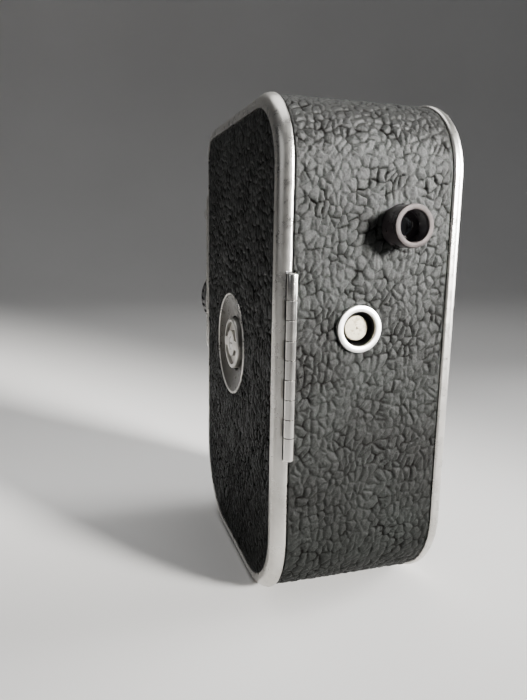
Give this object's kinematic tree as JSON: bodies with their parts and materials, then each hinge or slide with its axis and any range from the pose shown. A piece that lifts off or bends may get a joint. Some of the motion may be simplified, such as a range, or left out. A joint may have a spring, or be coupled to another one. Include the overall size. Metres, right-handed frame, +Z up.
{
  "type": "compact clockwork cine camera",
  "caption": "Pocket spring-driven cine camera with rounded metal rims, pebbled leather, a hinged film door with a flush turn latch, tube eyepiece, lens and winding key.",
  "frame": {"origin": "centre of the tripod socket's mouth, in the plane of the base, on which the camera stands", "axes": "+Z up the tall side; -Y the way the lens looks; +Y the eyepiece side; +X the film door side"},
  "size_m": [0.049, 0.0945, 0.12],
  "materials": {
    "case_leather": "deep pebble grain, black",
    "side_leather": "deep pebble grain, black",
    "satin_alloy": "satin, hand worn",
    "case_metal": "matt black inside",
    "bright_nickel": "polished nickel plate",
    "satin_steel": "brushed",
    "polished_steel": "polished",
    "brass_works": "fine turned",
    "blue_steel": "blued spring steel",
    "dark_dish": "satin olive black",
    "black_oxide": "satin black",
    "ivory_disc": "pale turned metal",
    "black_enamel": "gloss black",
    "glass": "coated optical glass",
    "dial_white": "matt white"
  },
  "bodies": {
    "chassis": {"body_band": "case_metal", "band_leather": "case_leather", "mechanism_cover": "satin_alloy", "cover_leather": "side_leather", "cover_screws": "polished_steel", "hinge_body_knuckles": "bright_nickel", "hinge_pin": "polished_steel", "bolt_keepers": "satin_steel", "mechanism_plate": "case_metal", "train_bridge": "brass_works", "gate_block": "case_metal", "front_plate": "satin_alloy", "front_screws": "polished_steel", "lens_mount_ring": "bright_nickel", "lens_barrel": "black_oxide", "lens_front_ring": "black_enamel", "lens_front_glass": "glass", "iris": "black_oxide", "finder_tube": "black_oxide", "finder_bezel": "black_enamel", "finder_front_glass": "glass", "eyepiece": "black_enamel", "eyepiece_glass": "glass", "plunger_ring": "bright_nickel", "counter_window": "glass", "window_bezel": "bright_nickel", "base_plate": "satin_alloy"},
    "door": {"door_shell": "satin_alloy", "door_leather": "side_leather", "door_light_trap": "case_metal", "hinge_door_knuckles": "bright_nickel", "latch_bezel": "satin_alloy", "latch_dish": "dark_dish", "bolt_guides": "black_oxide"},
    "latch": {"latch_knob": "satin_steel", "latch_screw": "polished_steel", "latch_cam": "brass_works"},
    "upper_bolt": {"latch_bolt_upper": "satin_steel"},
    "lower_bolt": {"latch_bolt_lower": "satin_steel"},
    "winder": {"winding_hub": "satin_alloy", "barrel_arbor": "polished_steel"},
    "key": {"key_handle": "bright_nickel"},
    "barrel": {"spring_barrel": "brass_works", "mainspring": "blue_steel"},
    "wheel": {"train_wheel": "brass_works"},
    "drive": {"drive_shaft": "polished_steel"},
    "governor": {"governor_shaft": "polished_steel"},
    "shutter": {"shutter": "black_oxide"},
    "take_up": {"take_up_spindle": "polished_steel", "take_up_spool": "black_enamel"},
    "supply": {"supply_spindle": "polished_steel"},
    "counter": {"counter_dial": "dial_white"},
    "claw": {"film_claw": "polished_steel"},
    "pad": {"pressure_plate": "satin_steel"},
    "release": {"release_button": "bright_nickel"},
    "rear_plunger": {"plunger": "ivory_disc"},
    "focus": {"focus_ring": "satin_alloy"},
    "aperture": {"aperture_ring": "satin_alloy"},
    "speed": {"speed_dial": "satin_alloy"}
  },
  "joints": [
    {"name": "door_hinge", "type": "hinge", "parent": "chassis", "child": "door", "pos_m": [0.01927, 0.0369, 0.0602], "axis": [0, 0, 1], "range_deg": [0, 120]},
    {"name": "latch_turn", "type": "hinge", "parent": "door", "child": "latch", "pos_m": [0.02, -0.0044, 0.0591], "axis": [1, 0, 0], "range_deg": [0, 90]},
    {"name": "upper_bolt_slide", "type": "slide", "parent": "door", "child": "upper_bolt", "axis": [0, 0, 1], "range_m": [0, 0.00453]},
    {"name": "lower_bolt_slide", "type": "slide", "parent": "door", "child": "lower_bolt", "axis": [0, 0, -1], "range_m": [0, 0.00453]},
    {"name": "winding_turn", "type": "hinge", "parent": "chassis", "child": "winder", "pos_m": [-0.02, 0.004, 0.043], "axis": [1, 0, 0], "continuous": true},
    {"name": "key_fold", "type": "hinge", "parent": "winder", "child": "key", "pos_m": [-0.0255, 0.004, 0.043], "axis": [0, 0, 1], "range_deg": [0, 90]},
    {"name": "barrel_turn", "type": "hinge", "parent": "chassis", "child": "barrel", "pos_m": [-0.01, 0.004, 0.043], "axis": [1, 0, 0], "continuous": true},
    {"name": "wheel_turn", "type": "hinge", "parent": "chassis", "child": "wheel", "pos_m": [-0.01, -0.002, 0.06747], "axis": [1, 0, 0], "continuous": true},
    {"name": "drive_turn", "type": "hinge", "parent": "chassis", "child": "drive", "pos_m": [-0.01, -0.01859, 0.06], "axis": [1, 0, 0], "continuous": true},
    {"name": "governor_turn", "type": "hinge", "parent": "chassis", "child": "governor", "pos_m": [-0.01, 0.0135, 0.07702], "axis": [1, 0, 0], "continuous": true},
    {"name": "shutter_turn", "type": "hinge", "parent": "chassis", "child": "shutter", "pos_m": [-0.0015, -0.028, 0.0675], "axis": [0, 1, 0], "continuous": true},
    {"name": "take_up_turn", "type": "hinge", "parent": "chassis", "child": "take_up", "pos_m": [0.005, 0.006, 0.03091], "axis": [1, 0, 0], "continuous": true},
    {"name": "supply_turn", "type": "hinge", "parent": "chassis", "child": "supply", "pos_m": [0.005, 0.006, 0.0865], "axis": [1, 0, 0], "continuous": true},
    {"name": "counter_turn", "type": "hinge", "parent": "chassis", "child": "counter", "pos_m": [-0.0195, -0.012, 0.0965], "axis": [1, 0, 0], "continuous": true},
    {"name": "claw_stroke", "type": "slide", "parent": "chassis", "child": "claw", "axis": [0, 0, 1], "range_m": [0, 0.0038]},
    {"name": "pad_lift", "type": "slide", "parent": "chassis", "child": "pad", "axis": [0, 1, 0], "range_m": [0, 0.002], "stiffness_N_per_m": 200, "springref_m": -0.001},
    {"name": "release_press", "type": "slide", "parent": "chassis", "child": "release", "axis": [0, 1, 0], "range_m": [0, 0.002], "stiffness_N_per_m": 300, "springref_m": -0.001},
    {"name": "plunger_press", "type": "slide", "parent": "chassis", "child": "rear_plunger", "axis": [0, -1, 0], "range_m": [0, 0.0018], "stiffness_N_per_m": 300, "springref_m": -0.001},
    {"name": "focus_turn", "type": "hinge", "parent": "chassis", "child": "focus", "pos_m": [0.01, -0.045, 0.0675], "axis": [0, 1, 0], "range_deg": [0, 270]},
    {"name": "aperture_turn", "type": "hinge", "parent": "chassis", "child": "aperture", "pos_m": [0.01, -0.041, 0.0675], "axis": [0, 1, 0], "range_deg": [0, 100]},
    {"name": "speed_turn", "type": "hinge", "parent": "chassis", "child": "speed", "pos_m": [-0.0225, 0.0135, 0.07702], "axis": [1, 0, 0], "range_deg": [0, 270]}
  ],
  "couplings": [
    {"joint": "latch_turn", "follows": "upper_bolt_slide", "rad_per_m": 347.1},
    {"joint": "lower_bolt_slide", "follows": "upper_bolt_slide", "ratio": 1},
    {"joint": "barrel_turn", "follows": "wheel_turn", "ratio": -0.2},
    {"joint": "drive_turn", "follows": "wheel_turn", "ratio": -4.2},
    {"joint": "governor_turn", "follows": "wheel_turn", "ratio": -4.2},
    {"joint": "shutter_turn", "follows": "wheel_turn", "ratio": -4.2},
    {"joint": "take_up_turn", "follows": "wheel_turn", "ratio": 0.33846},
    {"joint": "counter_turn", "follows": "wheel_turn", "ratio": 0.02}
  ]
}
